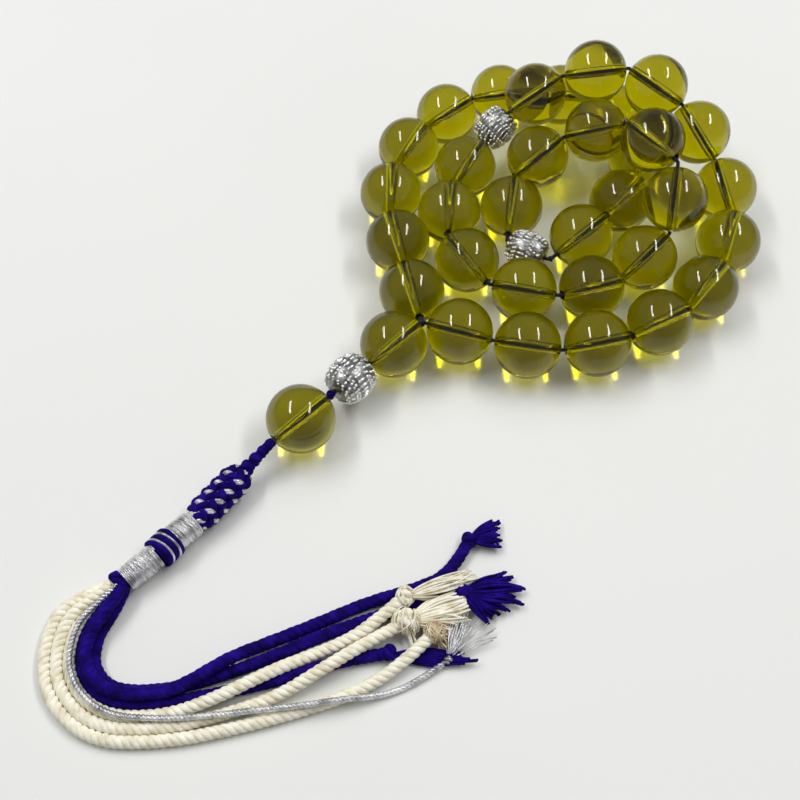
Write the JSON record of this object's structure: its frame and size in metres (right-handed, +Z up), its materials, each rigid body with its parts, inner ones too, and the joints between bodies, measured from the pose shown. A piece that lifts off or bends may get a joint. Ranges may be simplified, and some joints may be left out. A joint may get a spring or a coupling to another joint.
{
  "type": "prayer beads",
  "caption": "Misbaha of round clear resin beads on a closed string, with silver marker beads, a tail bead, a braided neck and a tassel of knotted cords, laid down on a table.",
  "frame": {"origin": "on the table, under the middle of the box round everything but the tassel cords, their end knots and their binding", "axes": "+Z up from the table; +Y away from the tassel; the tail runs towards -X and -Y"},
  "size_m": [0.1462, 0.1626, 0.0279],
  "materials": {
    "resin": "clear amber-olive cast resin, polished",
    "silver": "bright cast silver with dark recesses",
    "dark_string": "thin braided cord",
    "navy_thread": "deep blue-violet twisted thread",
    "cream_thread": "undyed cream twisted thread",
    "silver_thread": "metallic silver thread"
  },
  "bodies": {
    "loop": {"loop_string": "dark_string", "junction_knot": "dark_string", "stop_knot": "dark_string", "leader_string": "dark_string"},
    "bead_01": {"bead_01": "resin"},
    "bead_02": {"bead_02": "resin"},
    "bead_03": {"bead_03": "resin"},
    "bead_04": {"bead_04": "resin"},
    "bead_05": {"bead_05": "resin"},
    "bead_06": {"bead_06": "resin"},
    "bead_07": {"bead_07": "resin"},
    "bead_08": {"bead_08": "resin"},
    "bead_09": {"bead_09": "resin"},
    "bead_10": {"bead_10": "resin"},
    "bead_11": {"bead_11": "resin"},
    "marker_bead_1": {"marker_bead_1": "silver"},
    "bead_12": {"bead_12": "resin"},
    "bead_13": {"bead_13": "resin"},
    "bead_14": {"bead_14": "resin"},
    "bead_15": {"bead_15": "resin"},
    "bead_16": {"bead_16": "resin"},
    "bead_17": {"bead_17": "resin"},
    "bead_18": {"bead_18": "resin"},
    "bead_19": {"bead_19": "resin"},
    "bead_20": {"bead_20": "resin"},
    "bead_21": {"bead_21": "resin"},
    "bead_22": {"bead_22": "resin"},
    "marker_bead_2": {"marker_bead_2": "silver"},
    "bead_23": {"bead_23": "resin"},
    "bead_24": {"bead_24": "resin"},
    "bead_25": {"bead_25": "resin"},
    "bead_26": {"bead_26": "resin"},
    "bead_27": {"bead_27": "resin"},
    "bead_28": {"bead_28": "resin"},
    "bead_29": {"bead_29": "resin"},
    "bead_30": {"bead_30": "resin"},
    "bead_31": {"bead_31": "resin"},
    "bead_32": {"bead_32": "resin"},
    "bead_33": {"bead_33": "resin"},
    "leader_bead": {"leader_bead": "resin"},
    "tail": {"tail_string": "dark_string", "terminal_knot": "dark_string"},
    "terminal_bead": {"terminal_bead": "silver"},
    "tail_bead": {"tail_bead": "resin"},
    "tassel": {"neck_cord": "navy_thread", "neck_braid": "navy_thread", "upper_wrap": "silver_thread", "ring_knot": "navy_thread", "lower_wrap": "silver_thread", "end_binding": "navy_thread", "cream_cord_1": "cream_thread", "cream_cord_2": "cream_thread", "cream_cord_3": "cream_thread", "navy_cord_1": "navy_thread", "navy_cord_2": "navy_thread", "navy_cord_3": "navy_thread", "silver_cord": "silver_thread", "cream_end_knots": "cream_thread", "navy_end_knots": "navy_thread", "silver_end_knot": "silver_thread"}
  },
  "joints": [
    {"name": "bead_01_spin", "type": "hinge", "parent": "loop", "child": "bead_01", "pos_m": [-0.0005, -0.01, 0.007], "axis": [0.9526, -0.3042, 0.0006], "continuous": true},
    {"name": "bead_02_spin", "type": "hinge", "parent": "loop", "child": "bead_02", "pos_m": [0.0135, -0.0135, 0.007], "axis": [0.9858, -0.1678, -0.0032], "continuous": true},
    {"name": "bead_03_spin", "type": "hinge", "parent": "loop", "child": "bead_03", "pos_m": [0.028, -0.013, 0.007], "axis": [0.9721, 0.2344, 0.0099], "continuous": true},
    {"name": "bead_04_spin", "type": "hinge", "parent": "loop", "child": "bead_04", "pos_m": [0.0415, -0.0076, 0.007], "axis": [0.8703, 0.4919, -0.0247], "continuous": true},
    {"name": "bead_05_spin", "type": "hinge", "parent": "loop", "child": "bead_05", "pos_m": [0.0524, 0.0016, 0.007], "axis": [0.6155, 0.7864, 0.0514], "continuous": true},
    {"name": "bead_06_spin", "type": "hinge", "parent": "loop", "child": "bead_06", "pos_m": [0.0591, 0.0144, 0.007], "axis": [0.3178, 0.9438, -0.091], "continuous": true},
    {"name": "bead_07_spin", "type": "hinge", "parent": "loop", "child": "bead_07", "pos_m": [0.0601, 0.0284, 0.0085], "axis": [-0.2364, 0.9033, 0.3579], "continuous": true},
    {"name": "bead_08_spin", "type": "hinge", "parent": "loop", "child": "bead_08", "pos_m": [0.0541, 0.0389, 0.0156], "axis": [-0.5461, 0.6139, 0.57], "continuous": true},
    {"name": "bead_09_spin", "type": "hinge", "parent": "loop", "child": "bead_09", "pos_m": [0.0448, 0.0483, 0.0206], "axis": [-0.7683, 0.6214, 0.1537], "continuous": true},
    {"name": "bead_10_spin", "type": "hinge", "parent": "loop", "child": "bead_10", "pos_m": [0.0314, 0.0526, 0.0209], "axis": [-0.9897, -0.0115, -0.1429], "continuous": true},
    {"name": "bead_11_spin", "type": "hinge", "parent": "loop", "child": "bead_11", "pos_m": [0.018, 0.05, 0.0165], "axis": [-0.8319, -0.3587, -0.4234], "continuous": true},
    {"name": "marker_bead_1_spin", "type": "hinge", "parent": "loop", "child": "marker_bead_1", "pos_m": [0.00901, 0.04508, 0.01092], "axis": [-0.6587, -0.4924, -0.5689], "continuous": true},
    {"name": "bead_12_spin", "type": "hinge", "parent": "loop", "child": "bead_12", "pos_m": [0.002, 0.0365, 0.007], "axis": [-0.5066, -0.8525, -0.1289], "continuous": true},
    {"name": "bead_13_spin", "type": "hinge", "parent": "loop", "child": "bead_13", "pos_m": [-0.002, 0.023, 0.007], "axis": [-0.0584, -0.9941, 0.0917], "continuous": true},
    {"name": "bead_14_spin", "type": "hinge", "parent": "loop", "child": "bead_14", "pos_m": [0.0016, 0.0091, 0.007], "axis": [0.5649, -0.8219, -0.0728], "continuous": true},
    {"name": "bead_15_spin", "type": "hinge", "parent": "loop", "child": "bead_15", "pos_m": [0.0135, 0.001, 0.007], "axis": [0.9638, -0.2564, 0.0724], "continuous": true},
    {"name": "bead_16_spin", "type": "hinge", "parent": "loop", "child": "bead_16", "pos_m": [0.028, 0.0015, 0.007], "axis": [0.9327, 0.3475, -0.0965], "continuous": true},
    {"name": "bead_17_spin", "type": "hinge", "parent": "loop", "child": "bead_17", "pos_m": [0.04, 0.0089, 0.0081], "axis": [0.7229, 0.6279, 0.2884], "continuous": true},
    {"name": "bead_18_spin", "type": "hinge", "parent": "loop", "child": "bead_18", "pos_m": [0.0464, 0.0191, 0.0154], "axis": [0.0935, 0.7603, 0.6428], "continuous": true},
    {"name": "bead_19_spin", "type": "hinge", "parent": "loop", "child": "bead_19", "pos_m": [0.0422, 0.0318, 0.0203], "axis": [-0.6107, 0.7908, -0.042], "continuous": true},
    {"name": "bead_20_spin", "type": "hinge", "parent": "loop", "child": "bead_20", "pos_m": [0.031, 0.0391, 0.016], "axis": [-0.8498, 0.2081, -0.4843], "continuous": true},
    {"name": "bead_21_spin", "type": "hinge", "parent": "loop", "child": "bead_21", "pos_m": [0.0183, 0.0366, 0.0102], "axis": [-0.7633, -0.593, -0.2565], "continuous": true},
    {"name": "bead_22_spin", "type": "hinge", "parent": "loop", "child": "bead_22", "pos_m": [0.012, 0.0244, 0.007], "axis": [-0.1328, -0.9708, -0.1998], "continuous": true},
    {"name": "marker_bead_2_spin", "type": "hinge", "parent": "loop", "child": "marker_bead_2", "pos_m": [0.01494, 0.01324, 0.00534], "axis": [0.8514, -0.5223, 0.0494], "continuous": true},
    {"name": "bead_23_spin", "type": "hinge", "parent": "loop", "child": "bead_23", "pos_m": [0.0269, 0.0156, 0.0075], "axis": [0.7804, 0.5944, 0.194], "continuous": true},
    {"name": "bead_24_spin", "type": "hinge", "parent": "loop", "child": "bead_24", "pos_m": [0.0366, 0.0259, 0.0075], "axis": [0.5841, 0.7938, -0.1697], "continuous": true},
    {"name": "bead_25_spin", "type": "hinge", "parent": "loop", "child": "bead_25", "pos_m": [0.0421, 0.039, 0.007], "axis": [0.1012, 0.9886, 0.1118], "continuous": true},
    {"name": "bead_26_spin", "type": "hinge", "parent": "loop", "child": "bead_26", "pos_m": [0.0375, 0.0525, 0.008], "axis": [-0.6562, 0.7546, -0.009], "continuous": true},
    {"name": "bead_27_spin", "type": "hinge", "parent": "loop", "child": "bead_27", "pos_m": [0.0255, 0.06, 0.007], "axis": [-0.9645, 0.2493, -0.0871], "continuous": true},
    {"name": "bead_28_spin", "type": "hinge", "parent": "loop", "child": "bead_28", "pos_m": [0.011, 0.06, 0.007], "axis": [-0.9686, -0.243, 0.0531], "continuous": true},
    {"name": "bead_29_spin", "type": "hinge", "parent": "loop", "child": "bead_29", "pos_m": [-0.002, 0.0535, 0.007], "axis": [-0.7749, -0.6314, -0.0294], "continuous": true},
    {"name": "bead_30_spin", "type": "hinge", "parent": "loop", "child": "bead_30", "pos_m": [-0.011, 0.0425, 0.007], "axis": [-0.4752, -0.8798, 0.0141], "continuous": true},
    {"name": "bead_31_spin", "type": "hinge", "parent": "loop", "child": "bead_31", "pos_m": [-0.015, 0.0285, 0.007], "axis": [-0.0415, -0.9991, -0.0061], "continuous": true},
    {"name": "bead_32_spin", "type": "hinge", "parent": "loop", "child": "bead_32", "pos_m": [-0.0135, 0.0145, 0.007], "axis": [0.2217, -0.9751, 0.0022], "continuous": true},
    {"name": "bead_33_spin", "type": "hinge", "parent": "loop", "child": "bead_33", "pos_m": [-0.0105, 0.0005, 0.007], "axis": [0.228, -0.9737, -0.0005], "continuous": true},
    {"name": "leader_bead_spin", "type": "hinge", "parent": "loop", "child": "leader_bead", "pos_m": [-0.01435, -0.01325, 0.007], "axis": [-0.7133, -0.7009, 0], "continuous": true},
    {"name": "tail_swing", "type": "hinge", "parent": "loop", "child": "tail", "pos_m": [-0.01959, -0.0184, 0.007], "axis": [0, 0, 1], "range_deg": [-20, 20]},
    {"name": "terminal_bead_spin", "type": "hinge", "parent": "tail", "child": "terminal_bead", "pos_m": [-0.02305, -0.0218, 0.007], "axis": [-0.7133, -0.7009, 0], "continuous": true},
    {"name": "tail_bead_spin", "type": "hinge", "parent": "tail", "child": "tail_bead", "pos_m": [-0.03282, -0.0314, 0.007], "axis": [-0.7133, -0.7009, 0], "continuous": true},
    {"name": "tassel_swing", "type": "hinge", "parent": "tail", "child": "tassel", "pos_m": [-0.03799, -0.03648, 0.007], "axis": [0, 0, 1], "range_deg": [-20, 20]}
  ]
}
